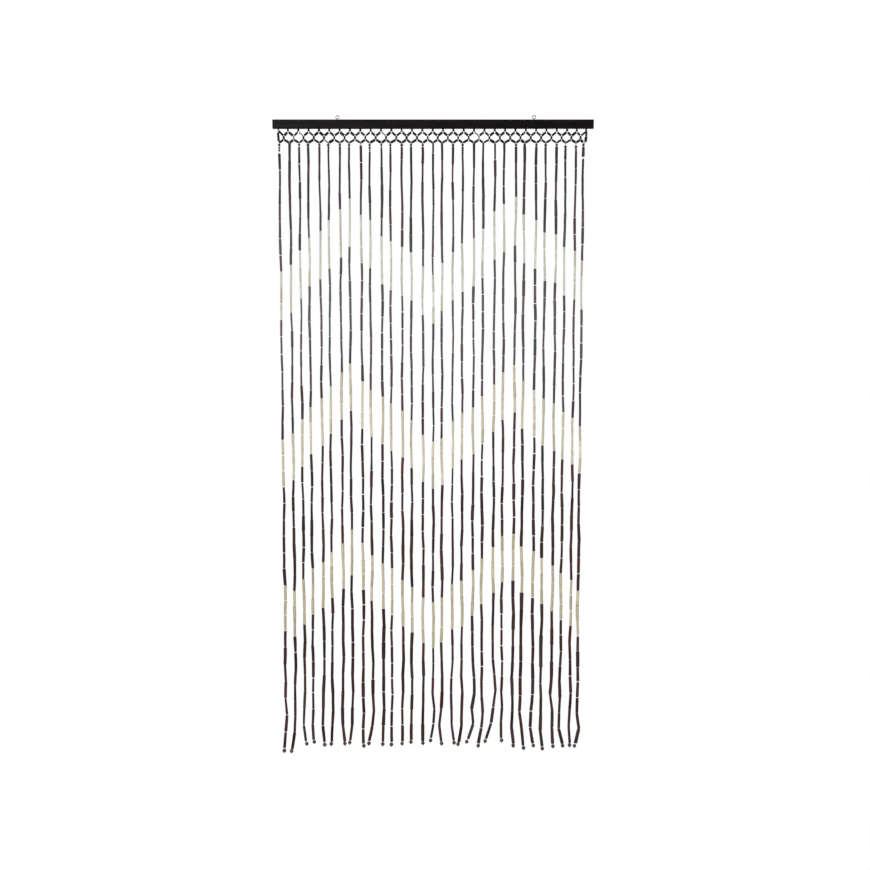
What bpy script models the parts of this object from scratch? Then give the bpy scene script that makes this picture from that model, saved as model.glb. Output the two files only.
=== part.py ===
"""Bamboo bead door curtain on its black wooden rail.

Metres, +Z up, and the front faces -Y. The origin is the middle of the rail's top face: the
curtain hangs below it, and only the two screw eyes stand above it.
"""

import math
from collections import namedtuple

import bmesh
import bpy
from mathutils import Vector

MM = 0.001

# The rail, a straight bar of painted wood
RAIL_LENGTH = 0.900
RAIL_HEIGHT = 0.025
RAIL_DEPTH = 0.012
RAIL_ROUNDING = 0.0012

# The threads' holes in its underside
HOLE_PITCH = 0.029
FIRST_HOLE_X = -0.436
HOLES_ASIDE = {0: 0.002, 29: -0.002, 30: -0.005}
HOLE_RADIUS = 0.0021
HOLE_DEPTH = 0.008
HOLE_SIDES = 8
SEAT_GAP = 0.0005

# The screw eyes: a wire that runs up out of the rail and round into a ring
EYE_X = {"screw_eye_left": -0.268, "screw_eye_right": 0.283}
WIRE_RADIUS = 0.0011
RING_RADIUS = 0.0044
RING_MIDDLE_Z = 0.0067
EYE_BEND_RADIUS = 0.0015
SHANK_DEPTH = 0.010
SHANK_HOLE_RADIUS = 0.0015
SHANK_HOLE_SIDES = 12
RING_END_ANGLE = math.radians(-66)
ARC_STEP = math.radians(14)

# The heading net's heights below the rail, and the half widths of its threads and short tubes
STUB_DROP = 0.001
SPLIT_DROP = 0.008
CROSSING_DROP = 0.020
PARTING_DROP = 0.0295
POINT_DROP = 0.038
THREAD_HALF = 0.0011
BUNDLE_HALF = 0.0016
CROSSING_HALF = 0.0020
SHORT_TUBE_HALF = 0.0029
SHORT_TUBE_MARGIN = 0.17
EDGE_MARGIN = 0.38
SHORTEST_LEG = 0.012

# The strings: bamboo tubes on a thread, stouter further down, each ending in a ball
TUBE_PITCH = 0.0485
TUBE_HALF = 0.0032
TUBE_GROWTH = 0.00065
GROWTH_DROP = 1.5
TUBE_UNEVENNESS = 0.0003
HEAD_DROP = 0.0045
NECK_HALF = 0.0010
NECK_LENGTH = 0.0015
BALL_RADIUS = 0.0052
BALL_SLICES = (60, 15, -30)

# How the strings hang: a slight bow all along, each string's a little on from the last one's,
# and a swing to the front or back that grows towards the free ends
BOW = 0.0012
BOW_LENGTH = 0.31
BOW_STEP = 2.4
DEPTH_SWAY = 0.005
DEPTH_GROWTH = 1.5
DEPTH_STEP = 1.9
LOW_JOINTS = 4
SWING_JOINTS = 6

# One row for each string, left to right, in millimetres: how far the net's lower point lies
# beside its hole in the rail, how far the middle of the end ball lies below that point, and
# how far the string has swung sideways at the third, second and first joint above the ball
# and at the ball itself.
String = namedtuple("String", "beside reach third second first ball")
STRINGS = [String(*row) for row in (
    (2, 1760, -2, 1, -2, -7),
    (4, 1760, -2, -1, -3, -15),
    (2, 1740, 1, -4, -7, 2),
    (-2, 1735, -2, -3, -3, 1),
    (1, 1740, -1, -4, -4, -2),
    (-3, 1740, -1, 0, -4, -6),
    (0, 1740, -5, -4, -3, 3),
    (-3, 1735, 2, 0, -4, -10),
    (1, 1745, -3, -2, -2, -1),
    (-3, 1740, 2, 4, 0, -13),
    (1, 1740, 1, -1, -2, -5),
    (-3, 1740, -1, -1, -1, -2),
    (0, 1740, 0, -2, -3, -4),
    (-3, 1735, 0, -2, -4, -2),
    (1, 1735, -1, 1, -2, 0),
    (1, 1730, 0, 3, -1, -8),
    (-3, 1740, 1, -4, -6, 0),
    (-1, 1735, -3, -1, 0, 4),
    (-3, 1740, 2, 0, -1, -9),
    (0, 1735, 5, -1, 4, -14),
    (-3, 1745, 3, 4, 0, -10),
    (1, 1730, 8, 1, -6, -19),
    (-2, 1730, 1, 3, 0, 2),
    (2, 1745, -1, 0, -4, 3),
    (-3, 1750, -4, -3, 4, 11),
    (1, 1745, 3, -2, -6, 5),
    (-2, 1755, 0, -1, 0, 6),
    (0, 1745, -4, 4, 4, 5),
    (-4, 1745, 0, -2, -3, 8),
    (-2, 1745, 2, -1, -1, 3),
    (-7, 1745, 2, 2, 7, -5),
)]


def principled(name, color, roughness, metallic=0.0):
    """A plain Principled material."""
    material = bpy.data.materials.new(name)
    material.use_nodes = True
    shader = material.node_tree.nodes["Principled BSDF"]
    shader.inputs["Base Color"].default_value = (*color, 1.0)
    shader.inputs["Roughness"].default_value = roughness
    shader.inputs["Metallic"].default_value = metallic
    material.diffuse_color = (*color, 1.0)
    return material


def add_object(name, data, material=None):
    """An object for this mesh or curve, in the scene, with its material."""
    obj = bpy.data.objects.new(name, data)
    bpy.context.scene.collection.objects.link(obj)
    if material:
        data.materials.append(material)
    return obj


def mesh_from(name, fill):
    """A mesh made by a function that works on an empty bmesh."""
    bm = bmesh.new()
    fill(bm)
    mesh = bpy.data.meshes.new(name)
    bm.to_mesh(mesh)
    bm.free()
    return mesh


def hole_x(index):
    """Where a string's thread comes out of the rail. The outermost holes sit closer in."""
    return FIRST_HOLE_X + index * HOLE_PITCH + HOLES_ASIDE.get(index, 0)


def add_post(bm, x, low, high, radius, sides):
    """An upright prism between two heights, used to cut a hole."""
    made = bmesh.ops.create_cone(
        bm, cap_ends=True, segments=sides, radius1=radius, radius2=radius, depth=high - low
    )
    bmesh.ops.translate(bm, verts=made["verts"], vec=(x, 0, (low + high) / 2))


def hole_posts(bm):
    """All the holes of the rail: blind ones from below for the threads, from above for the eyes."""
    past = RAIL_ROUNDING
    for index in range(len(STRINGS)):
        low, high = -RAIL_HEIGHT - past, -RAIL_HEIGHT + HOLE_DEPTH
        add_post(bm, hole_x(index), low, high, HOLE_RADIUS, HOLE_SIDES)
    for x in EYE_X.values():
        low, high = -SHANK_DEPTH - SEAT_GAP, past
        add_post(bm, x, low, high, SHANK_HOLE_RADIUS, SHANK_HOLE_SIDES)


def rail():
    """The bar, with rounded edges and its holes."""
    def bar(bm):
        bmesh.ops.create_cube(bm, size=1.0)
        bmesh.ops.scale(bm, verts=bm.verts, vec=(RAIL_LENGTH, RAIL_DEPTH, RAIL_HEIGHT))
        bmesh.ops.translate(bm, verts=bm.verts, vec=(0, 0, -RAIL_HEIGHT / 2))

    paint = principled("black painted wood", (0.012, 0.011, 0.011), 0.5)
    obj = add_object("rail", mesh_from("rail", bar), paint)
    cutter = add_object("rail_holes", mesh_from("rail_holes", hole_posts))
    cutter.hide_render = True
    cutter.display_type = "WIRE"

    bevel = obj.modifiers.new("rounded edges", "BEVEL")
    bevel.width = RAIL_ROUNDING
    bevel.segments = 2
    cut = obj.modifiers.new("holes", "BOOLEAN")
    cut.operation = "DIFFERENCE"
    cut.solver = "EXACT"
    cut.object = cutter


def arc(middle_x, middle_z, radius, start, end):
    """Points along an arc in the XZ plane, from one angle to the other."""
    steps = max(2, round(abs(end - start) / ARC_STEP))
    angles = [start + (end - start) * step / steps for step in range(steps + 1)]
    return [
        (middle_x + radius * math.cos(a), middle_z + radius * math.sin(a)) for a in angles
    ]


def eye_path():
    """The wire of a screw eye: up the shank, aside in a tight bend, and round the ring.

    The bend turns by the angle whose cosine is bend / (ring + bend), so that it runs into
    the ring smoothly and the ring stays centred over the shank.
    """
    reach = RING_RADIUS + EYE_BEND_RADIUS
    turn = math.acos(EYE_BEND_RADIUS / reach)
    bend_z = RING_MIDDLE_Z - reach * math.sin(turn)
    bend = arc(-EYE_BEND_RADIUS, bend_z, EYE_BEND_RADIUS, 0, turn)
    ring = arc(0, RING_MIDDLE_Z, RING_RADIUS, math.pi + turn, RING_END_ANGLE)
    return [(0, -SHANK_DEPTH)] + bend + ring[1:]


def screw_eye(name, x, material):
    """One eye: a round wire along its path, set in the rail's top."""
    curve = bpy.data.curves.new(name, "CURVE")
    curve.dimensions = "3D"
    curve.bevel_depth = WIRE_RADIUS
    curve.bevel_resolution = 2
    curve.use_fill_caps = True
    path = eye_path()
    spline = curve.splines.new("POLY")
    spline.points.add(len(path) - 1)
    for point, (along, height) in zip(spline.points, path):
        point.co = (along, 0, height, 1)
    obj = add_object(name, curve, material)
    obj.location = (x, 0, 0)


class Net:
    """Square bars that meet in shared points of an upright sheet, as one closed mesh.

    Each point has a half width. Where bars meet, the corner between two neighbours lies
    where their sides cross, and every corner has one vertex in front and one behind.
    """

    def __init__(self):
        self.points = []
        self.halves = []
        self.bars = []

    def point(self, x, y, z, half):
        """Adds a point and returns its number."""
        self.points.append(Vector((x, y, z)))
        self.halves.append(half)
        return len(self.points) - 1

    def run(self, *numbers):
        """Adds bars from each of these points to the next."""
        self.bars += list(zip(numbers, numbers[1:]))

    def bars_around(self):
        """For each point, its neighbours with the way to each, counter-clockwise from the front."""
        around = [[] for _ in self.points]
        for a, b in self.bars:
            for here, there in ((a, b), (b, a)):
                way = self.points[there] - self.points[here]
                way.y = 0
                way.normalize()
                around[here].append((math.atan2(way.z, way.x), there, way))
        return [[(there, way) for _, there, way in sorted(ways)] for ways in around]

    def fill(self, bm):
        """Makes the mesh in a bmesh: the bars' long faces, and the flats of ends and meetings."""
        around = self.bars_around()
        corners = [
            self.corner_vertices(bm, number, ways) for number, ways in enumerate(around)
        ]
        for a, b in self.bars:
            at_a = [there for there, _ in around[a]].index(b)
            at_b = [there for there, _ in around[b]].index(a)
            left, right = corners[a][at_a], corners[a][at_a - 1]
            far_right, far_left = corners[b][at_b], corners[b][at_b - 1]
            self.bar_faces(bm, left, right, far_left, far_right)
        for ring, ways in zip(corners, around):
            if len(ways) == 1:
                left, right = ring
                bm.faces.new((right[0], left[0], left[1], right[1]))
            elif len(ways) > 2:
                bm.faces.new([front for front, _ in ring])
                bm.faces.new([back for _, back in reversed(ring)])

    def corner_vertices(self, bm, number, ways):
        """The front and back vertex of each corner around a point."""
        middle, half = self.points[number], self.halves[number]
        depth = Vector((0, half, 0))
        offsets = []
        for index, (_, way) in enumerate(ways):
            left = Vector((-way.z, 0, way.x))
            if len(ways) == 1:
                offsets += [left * half, -left * half]
                break
            after = ways[(index + 1) % len(ways)][1]
            right = Vector((after.z, 0, -after.x))
            offsets.append((left + right) * half / (1 + left.dot(right)))
        return [
            (bm.verts.new(middle + offset - depth), bm.verts.new(middle + offset + depth))
            for offset in offsets
        ]

    def bar_faces(self, bm, left, right, far_left, far_right):
        """The four long faces of a bar."""
        bm.faces.new((right[0], far_right[0], far_left[0], left[0]))
        bm.faces.new((left[1], far_left[1], far_right[1], right[1]))
        bm.faces.new((left[0], far_left[0], far_left[1], left[1]))
        bm.faces.new((right[0], right[1], far_right[1], far_right[0]))


def short_tube(net, start, end, start_margin, end_margin=SHORT_TUBE_MARGIN):
    """A leg of the net: thread, one short tube, thread. A very short leg is bare thread."""
    a, b = net.points[start], net.points[end]
    if (b - a).length < SHORTEST_LEG:
        net.run(start, end)
        return
    near = net.point(*a.lerp(b, start_margin), SHORT_TUBE_HALF)
    far = net.point(*a.lerp(b, 1 - end_margin), SHORT_TUBE_HALF)
    net.run(start, near, far, end)


def heading(net):
    """The row of diamonds under the rail. Returns each string's point to hang from."""
    under = -RAIL_HEIGHT
    splits, hang_points = [], []
    for index, string in enumerate(STRINGS):
        x = hole_x(index)
        root = net.point(x, 0, under + HOLE_DEPTH - SEAT_GAP, THREAD_HALF)
        stub = net.point(x, 0, under - STUB_DROP, THREAD_HALF)
        split = net.point(x, 0, under - SPLIT_DROP, BUNDLE_HALF)
        net.run(root, stub, split)
        splits.append(split)
        hang_points.append(
            net.point(x + string.beside * MM, 0, under - POINT_DROP, BUNDLE_HALF)
        )
    for index in range(len(STRINGS) - 1):
        around = splits[index:index + 2] + hang_points[index:index + 2]
        x = sum(net.points[number].x for number in around) / len(around)
        crossing = net.point(x, 0, under - CROSSING_DROP, CROSSING_HALF)
        parting = net.point(x, 0, under - PARTING_DROP, CROSSING_HALF)
        net.run(crossing, parting)
        for beside in (index, index + 1):
            at_edge = beside in (0, len(STRINGS) - 1)
            margin = EDGE_MARGIN if at_edge else SHORT_TUBE_MARGIN
            short_tube(net, splits[beside], crossing, margin)
            short_tube(net, hang_points[beside], parting, margin)
    for edge in (0, -1):
        short_tube(net, splits[edge], hang_points[edge], EDGE_MARGIN, EDGE_MARGIN)
    return hang_points


def sideways(string, joints_up):
    """How far a string lies beside its plumb line, so many joints above its ball."""
    swung = (string.ball, string.first, string.second, string.third)
    charted = len(swung) - 1
    if joints_up >= charted:
        fade = (joints_up - charted) / (SWING_JOINTS - charted)
        return string.third * max(0, 1 - fade) * MM
    whole = int(joints_up)
    part = joints_up - whole
    return (swung[whole] * (1 - part) + swung[whole + 1] * part) * MM


def bow(index, drop):
    """The slight sideways bow of a string at a drop below the net, nothing at the net."""
    ease = min(1, drop / (2 * TUBE_PITCH))
    return BOW * ease * math.sin(BOW_STEP * index + 2 * math.pi * drop / BOW_LENGTH)


def depth(index, drop, reach):
    """How far a string has swung to the back or the front, most at its free end."""
    turn = math.sin(DEPTH_STEP * index + math.pi * drop / reach)
    return DEPTH_SWAY * turn * (drop / reach) ** DEPTH_GROWTH


def tube_half(index, drop):
    """The half width of the tubes at a drop: more further down, and never quite even."""
    growth = TUBE_GROWTH * (drop / GROWTH_DROP) ** 1.5
    joint = round(drop / TUBE_PITCH)
    return TUBE_HALF + growth + TUBE_UNEVENNESS * math.sin(5.3 * index + 2.1 * joint)


def strand(net, index, string, top):
    """One string: a square strand that turns a little at its joints, and its end ball."""
    reach = string.reach * MM
    plumb, level = net.points[top].x, net.points[top].z

    def place(drop, half):
        joints_up = (reach - drop) / TUBE_PITCH
        x = plumb + sideways(string, joints_up) + bow(index, drop)
        return net.point(x, depth(index, drop, reach), level - drop, half)

    joints = int((reach - HEAD_DROP) / TUBE_PITCH)
    shown = [joint for joint in range(joints, 0, -1) if joint <= LOW_JOINTS or joint % 2 == 0]
    drops = [HEAD_DROP] + [reach - joint * TUBE_PITCH for joint in shown]
    numbers = [place(drop, tube_half(index, drop)) for drop in drops]
    tubes_end = reach - BALL_RADIUS - NECK_LENGTH
    numbers.append(place(tubes_end, tube_half(index, tubes_end)))
    numbers.append(place(reach - BALL_RADIUS, NECK_HALF))
    for slice_angle in BALL_SLICES:
        angle = math.radians(slice_angle)
        half = BALL_RADIUS * math.cos(angle)
        numbers.append(place(reach - BALL_RADIUS * math.sin(angle), half))
    numbers.append(place(reach + BALL_RADIUS, NECK_HALF))
    net.run(top, *numbers)


def bead_net(material):
    """The heading net with all the strings that hang from it, in one piece."""
    net = Net()
    for index, (string, top) in enumerate(zip(STRINGS, heading(net))):
        strand(net, index, string, top)
    add_object("bead_net", mesh_from("bead_net", net.fill), material)


for old in list(bpy.data.objects):
    bpy.data.objects.remove(old, do_unlink=True)

rail()
steel = principled("steel wire", (0.45, 0.45, 0.44), 0.35, metallic=1.0)
for eye_name, eye_x in EYE_X.items():
    screw_eye(eye_name, eye_x, steel)
bead_net(principled("dark bamboo", (0.055, 0.028, 0.022), 0.6))
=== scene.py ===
import math
from collections import namedtuple

import bpy
import numpy as np
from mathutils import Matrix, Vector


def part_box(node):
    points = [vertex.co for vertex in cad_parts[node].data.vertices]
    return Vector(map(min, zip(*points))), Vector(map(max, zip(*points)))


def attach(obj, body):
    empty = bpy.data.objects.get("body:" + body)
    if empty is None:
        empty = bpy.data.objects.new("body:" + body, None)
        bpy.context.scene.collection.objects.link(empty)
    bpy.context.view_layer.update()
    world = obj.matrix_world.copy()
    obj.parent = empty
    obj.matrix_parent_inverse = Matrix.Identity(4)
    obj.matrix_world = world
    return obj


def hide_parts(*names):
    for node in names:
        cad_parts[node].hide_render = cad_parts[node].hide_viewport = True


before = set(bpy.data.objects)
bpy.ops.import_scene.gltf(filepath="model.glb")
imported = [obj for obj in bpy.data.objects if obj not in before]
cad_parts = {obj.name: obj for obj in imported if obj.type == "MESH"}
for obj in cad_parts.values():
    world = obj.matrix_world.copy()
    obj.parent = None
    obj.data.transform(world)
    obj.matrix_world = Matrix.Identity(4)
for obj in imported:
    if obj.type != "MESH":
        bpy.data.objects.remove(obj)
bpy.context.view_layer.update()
MM = 0.001

# The room: a white floor under a dim white sky, one broad soft light from the upper left, and
# weaker ones from the right and from behind. The camera stands 3.46 m in front of the curtain,
# a third of the way down, and looks a little downwards.
CAMERA_PLACE = (0.0054, -3.456, -0.5452)
CAMERA_PITCH = math.radians(5.66)
LENS = 50
FLOOR_DROP = 2.03
FLOOR_SIDE = 24
SKY_LIGHT = 0.48
GROUND_LIGHT = 0.20
HORIZON = (-0.4, 0.4)
# Each light's place, the side of its square in metres and its power in watts
LIGHTS = {
    "key_light": ((-1.8, -3.4, 0.5), 1.8, 125),
    "fill_light": ((2.4, -2.8, -0.8), 1.6, 45),
    "back_light": ((0.9, 3.6, 0.3), 1.8, 60),
}
LIT_POINT = (0, 0, -1.0)


def soft_light(name, place, side, power):
    """A square area light of this side that shines from its place towards the lit point."""
    light = bpy.data.lights.new(name, "AREA")
    light.size = side
    light.energy = power
    lamp = bpy.data.objects.new(name, light)
    bpy.context.scene.collection.objects.link(lamp)
    lamp.location = place
    lamp.visible_camera = False
    way = np.subtract(LIT_POINT, place)
    lamp.rotation_euler = (
        math.atan2(math.hypot(way[0], way[1]), -way[2]),
        0,
        math.atan2(way[1], way[0]) - math.pi / 2,
    )


def new_material(name, roughness, metallic=0.0, specular=0.5):
    """A Principled material, with its node tree and shader."""
    material = bpy.data.materials.new(name)
    material.use_nodes = True
    shader = material.node_tree.nodes["Principled BSDF"]
    shader.inputs["Roughness"].default_value = roughness
    shader.inputs["Metallic"].default_value = metallic
    shader.inputs["Specular IOR Level"].default_value = specular
    return material, material.node_tree, shader


def link(tree, *pairs):
    """Joins outputs to inputs, given as pairs."""
    for output, socket in zip(pairs[::2], pairs[1::2]):
        tree.links.new(output, socket)


def add_node(tree, kind, **inputs):
    """A shader node of this kind, with values for its inputs by name, spaces as underscores."""
    node = tree.nodes.new(kind)
    for name, value in inputs.items():
        node.inputs[name.replace("_", " ")].default_value = value
    return node


def between(tree, value, low, high, at=(0.3, 0.7)):
    """A value spread from one range to another, and held inside it."""
    spread = add_node(tree, "ShaderNodeMapRange", From_Min=at[0], From_Max=at[1],
                      To_Min=low, To_Max=high)
    link(tree, value, spread.inputs["Value"])
    return spread.outputs["Result"]


def room():
    """The floor, the sky, the lights and the camera."""
    half = FLOOR_SIDE / 2
    corners = [(-half, -half), (half, -half), (half, half), (-half, half)]
    mesh = bpy.data.meshes.new("floor")
    mesh.from_pydata([(x, y, -FLOOR_DROP) for x, y in corners], [], [(0, 1, 2, 3)])
    floor = bpy.data.objects.new("floor", mesh)
    bpy.context.scene.collection.objects.link(floor)
    white, _, shader = new_material("white floor", 0.9, specular=0.0)
    shader.inputs["Base Color"].default_value = (0, 0, 0, 1)
    shader.inputs["Emission Color"].default_value = (1, 1, 1, 1)
    shader.inputs["Emission Strength"].default_value = 1
    mesh.materials.append(white)
    floor.visible_diffuse = floor.visible_glossy = floor.visible_shadow = False

    sky = bpy.data.worlds.new("studio sky")
    sky.use_nodes = True
    tree = sky.node_tree
    background = tree.nodes["Background"]
    background.inputs["Color"].default_value = (1, 1, 1, 1)
    way = tree.nodes.new("ShaderNodeTexCoord").outputs["Generated"]
    height = tree.nodes.new("ShaderNodeSeparateXYZ")
    link(tree, way, height.inputs["Vector"])
    strength = between(tree, height.outputs["Z"], GROUND_LIGHT, SKY_LIGHT, at=HORIZON)
    seen = tree.nodes.new("ShaderNodeLightPath").outputs["Is Camera Ray"]
    brightest = add_node(tree, "ShaderNodeMath")
    brightest.operation = "MAXIMUM"
    link(tree, seen, brightest.inputs[0], strength, brightest.inputs[1],
         brightest.outputs[0], background.inputs["Strength"])
    bpy.context.scene.world = sky
    bpy.context.scene.view_settings.view_transform = "Standard"
    for name, (place, side, power) in LIGHTS.items():
        soft_light(name, place, side, power)

    camera = bpy.data.objects.new("camera", bpy.data.cameras.new("camera"))
    bpy.context.scene.collection.objects.link(camera)
    camera.data.lens = LENS
    camera.location = CAMERA_PLACE
    camera.rotation_euler = (math.pi / 2 - CAMERA_PITCH, 0, 0)
    bpy.context.scene.camera = camera


room()

# The rail: a straight bar of open-grained wood under black paint, planed and lightly rounded
# along its edges. Its shape and its drilled holes are the frame's own, and only the finish is
# added here.
PAINT = (0.0022, 0.0019, 0.0019)
PAINT_WORN = (0.0085, 0.0068, 0.0062)
PAINT_ROUGHNESS = (0.36, 0.56)
GRAIN_SCALE = (5, 260, 200)
PATCH_SCALE = (9, 60, 60)
GRAIN_DEPTH = 0.25 * MM


def noise(tree, coordinates, scale, detail=3):
    """A noise stretched by a scale for each axis of the coordinates. Returns its value."""
    mapping = add_node(tree, "ShaderNodeMapping", Scale=scale)
    texture = add_node(tree, "ShaderNodeTexNoise", Scale=1, Detail=detail, Roughness=0.6)
    link(tree, coordinates, mapping.inputs["Vector"],
         mapping.outputs["Vector"], texture.inputs["Vector"])
    return texture.outputs["Fac"]


def blended(tree, share, first, second):
    """A colour that goes from the first to the second by the share. Either may be a socket."""
    mix = tree.nodes.new("ShaderNodeMix")
    mix.data_type = "RGBA"
    for socket, colour in ((mix.inputs["A"], first), (mix.inputs["B"], second)):
        sockets = [s for s in mix.inputs if s.name == socket.name and s.type == "RGBA"]
        if isinstance(colour, tuple):
            sockets[0].default_value = (*colour, 1)
        else:
            link(tree, colour, sockets[0])
    link(tree, share, mix.inputs[0])
    return [s for s in mix.outputs if s.type == "RGBA"][0]


def bump(tree, shader, height, distance):
    """Raises the surface by a height from 0 to 1, times the distance in metres."""
    raised = add_node(tree, "ShaderNodeBump", Strength=1, Distance=distance)
    link(tree, height, raised.inputs["Height"],
         raised.outputs["Normal"], shader.inputs["Normal"])


def painted_wood():
    """Black paint that lets the wood's long pores show, a little thinner in patches."""
    material, tree, shader = new_material("black painted wood", 0.45, specular=0.05)
    place = tree.nodes.new("ShaderNodeTexCoord").outputs["Object"]
    grain = noise(tree, place, GRAIN_SCALE)
    patches = noise(tree, place, PATCH_SCALE)
    colour = blended(tree, between(tree, patches, 0, 1), PAINT, PAINT_WORN)
    link(tree, colour, shader.inputs["Base Color"],
         between(tree, grain, *PAINT_ROUGHNESS), shader.inputs["Roughness"])
    bump(tree, shader, grain, GRAIN_DEPTH)
    return material


def finish_node(node, material):
    """Gives a node of the frame one material."""
    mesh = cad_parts[node].data
    mesh.materials.clear()
    mesh.materials.append(material)


finish_node("rail", painted_wood())

# The screw eyes: two lengths of zinc-plated wire, 2.2 mm thick, turned into the rail. Each
# runs up out of it, turns aside in a tight bend and goes round in a ring 11 mm across that
# stops short of the shank.
WIRE_RADIUS = 1.1 * MM
WIRE_SIDES = 16
RING_RADIUS = 4.4 * MM
RING_MIDDLE = 6.7 * MM
RING_END = math.radians(-66)
RING_POINTS = 49
BEND_RADIUS = 1.5 * MM
BEND_POINTS = 9
SHANK_DEPTH = 10 * MM
EYES = {"screw_eye_left": -0.268, "screw_eye_right": 0.283}
ZINC = (0.12, 0.123, 0.123)
ZINC_ROUGHNESS = (0.22, 0.42)
STREAK_SCALE = (900, 900, 300)
STREAK_DEPTH = 0.02 * MM


def directions(paths):
    """The unit direction of each path at each of its points: from the point before it to the
    point after it, and at an end from that end to its neighbour."""
    ways = np.gradient(paths, axis=1)
    return ways / np.linalg.norm(ways, axis=2, keepdims=True)


def turned(centres, ways, radii, along, sides, hollow, oval=0.0, slant=0.0, phase=0.0):
    """Many turned pieces at once, as (points, faces, uv, pieces, rings).

    centres and ways are (pieces, rings, 3), and radii (pieces, rings). A ring's points are
    centre + r (side cos a + back sin a) + way r slant cos(a - phase), with a from 0 to a full
    turn, side = way x Y, back = side x way, and r = radius (1 + oval cos 2(a - phase)).
    Faces join each ring to the next. On a hollow piece the last ring joins the first, so the
    rings go down the outside and back up the bore; a solid piece's ends are closed flat.
    uv holds metres round and along the piece, from along, which is (pieces, rings + 1).
    """
    pieces, rings = radii.shape
    side = np.cross(ways, (0, 1, 0))
    side /= np.linalg.norm(side, axis=2, keepdims=True)
    back = np.cross(side, ways)
    a = math.pi / 2 + np.arange(sides) * 2 * math.pi / sides
    phase = np.broadcast_to(phase, pieces)[:, None, None]
    oval = np.broadcast_to(oval, pieces)[:, None, None]
    slant = np.broadcast_to(slant, (pieces, rings))[:, :, None]
    r = radii[:, :, None] * (1 + oval * np.cos(2 * (a - phase)))
    lift = r * slant * np.cos(a - phase)
    points = (
        centres[:, :, None]
        + (r * np.cos(a))[..., None] * side[:, :, None]
        + (r * np.sin(a))[..., None] * back[:, :, None]
        + lift[..., None] * ways[:, :, None]
    ).reshape(-1, 3)

    index = np.arange(pieces * rings * sides).reshape(pieces, rings, sides)
    after = np.roll(index, -1, axis=2)
    spans = rings if hollow else rings - 1
    below, below_after = np.roll(index, -1, axis=1), np.roll(after, -1, axis=1)
    quads = np.stack([index, below, below_after, after], axis=3)[:, :spans]
    girth = 2 * math.pi * radii.mean(axis=1)[:, None, None] / sides
    u = np.broadcast_to(np.arange(sides) * girth, (pieces, spans, sides))
    start = np.broadcast_to(along[:, :spans, None], u.shape)
    end = np.broadcast_to(along[:, 1:spans + 1, None], u.shape)
    uv = np.stack([u, start, u, end, u + girth, end, u + girth, start], axis=3)
    faces, uvs = quads.reshape(-1, 4).tolist(), [uv.reshape(-1, 2)]
    if not hollow:
        faces += index[:, 0].tolist() + index[:, -1, ::-1].tolist()
        disc = np.stack([np.cos(a), np.sin(a)], axis=1)
        near, far = radii[:, 0, None, None] * disc, radii[:, -1, None, None] * disc[::-1]
        uvs += [near.reshape(-1, 2), far.reshape(-1, 2)]
    return points, faces, np.concatenate(uvs), pieces, rings * sides


def piece(name, shape, material, slot, node, sharp=40, **values):
    """A shown piece from a turned shape: its mesh, uv, material and attributes, riding on the
    curtain's one body and standing for a node of the frame. A value is one number or colour
    for each turned piece, or one number for each of its points."""
    points, faces, uv, pieces, each = shape
    mesh = bpy.data.meshes.new(name)
    mesh.from_pydata(points, [], faces)
    mesh.uv_layers.new(name="uv").data.foreach_set("uv", uv.astype(np.float32).ravel())
    for key, value in values.items():
        wide = value.ndim == 2 and value.shape[1] == 3
        spread = np.repeat(value, each, axis=0) if len(value) == pieces else value
        if wide:
            spread = np.hstack([spread, np.ones((len(spread), 1))])
        kind, field = ("FLOAT_COLOR", "color") if wide else ("FLOAT", "value")
        layer = mesh.attributes.new(key, kind, "POINT")
        layer.data.foreach_set(field, spread.astype(np.float32).ravel())
    mesh.shade_smooth()
    mesh.set_sharp_from_angle(angle=math.radians(sharp))
    mesh.materials.append(material)
    obj = bpy.data.objects.new(name, mesh)
    bpy.context.scene.collection.objects.link(obj)
    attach(obj, "root")
    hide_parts(node)
    return obj


def lengths_along(paths):
    """How far each point of each path lies from its start, with one more for a closing step."""
    steps = np.linalg.norm(np.diff(paths, axis=1), axis=2)
    far = np.cumsum(np.pad(steps, ((0, 0), (1, 0))), axis=1)
    return np.pad(far, ((0, 0), (0, 1)), mode="edge")


def zinc_wire():
    """Bright wire: almost a mirror, dulled in fine streaks."""
    material, tree, shader = new_material("zinc plated wire", 0.3, metallic=1.0)
    place = tree.nodes.new("ShaderNodeTexCoord").outputs["Object"]
    streaks = noise(tree, place, STREAK_SCALE)
    shader.inputs["Base Color"].default_value = (*ZINC, 1)
    link(tree, between(tree, streaks, *ZINC_ROUGHNESS), shader.inputs["Roughness"])
    bump(tree, shader, streaks, STREAK_DEPTH)
    return material


def eye_path():
    """The wire's middle line: up the shank, through a bend that turns by the angle whose
    cosine is bend / (ring + bend), so that it meets the ring without a kink, and round the
    ring clockwise."""
    reach = RING_RADIUS + BEND_RADIUS
    turn = math.acos(BEND_RADIUS / reach)
    foot = RING_MIDDLE - reach * math.sin(turn)
    bend = np.linspace(0, turn, BEND_POINTS)
    ring = np.linspace(math.pi + turn, RING_END, RING_POINTS)[1:]
    x = np.concatenate([[0], BEND_RADIUS * (np.cos(bend) - 1), RING_RADIUS * np.cos(ring)])
    z = np.concatenate([
        [-SHANK_DEPTH],
        foot + BEND_RADIUS * np.sin(bend),
        RING_MIDDLE + RING_RADIUS * np.sin(ring),
    ])
    return np.stack([x, np.zeros_like(x), z], axis=1)


wire = zinc_wire()
for eye, eye_x in EYES.items():
    path = (eye_path() + (eye_x, 0, 0))[None]
    radii = np.full(path.shape[:2], WIRE_RADIUS)
    shape = turned(path, directions(path), radii, lengths_along(path), WIRE_SIDES, hollow=False)
    piece(eye.replace("screw_eye", "ring_eye"), shape, wire, "steel_wire", eye)

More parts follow.
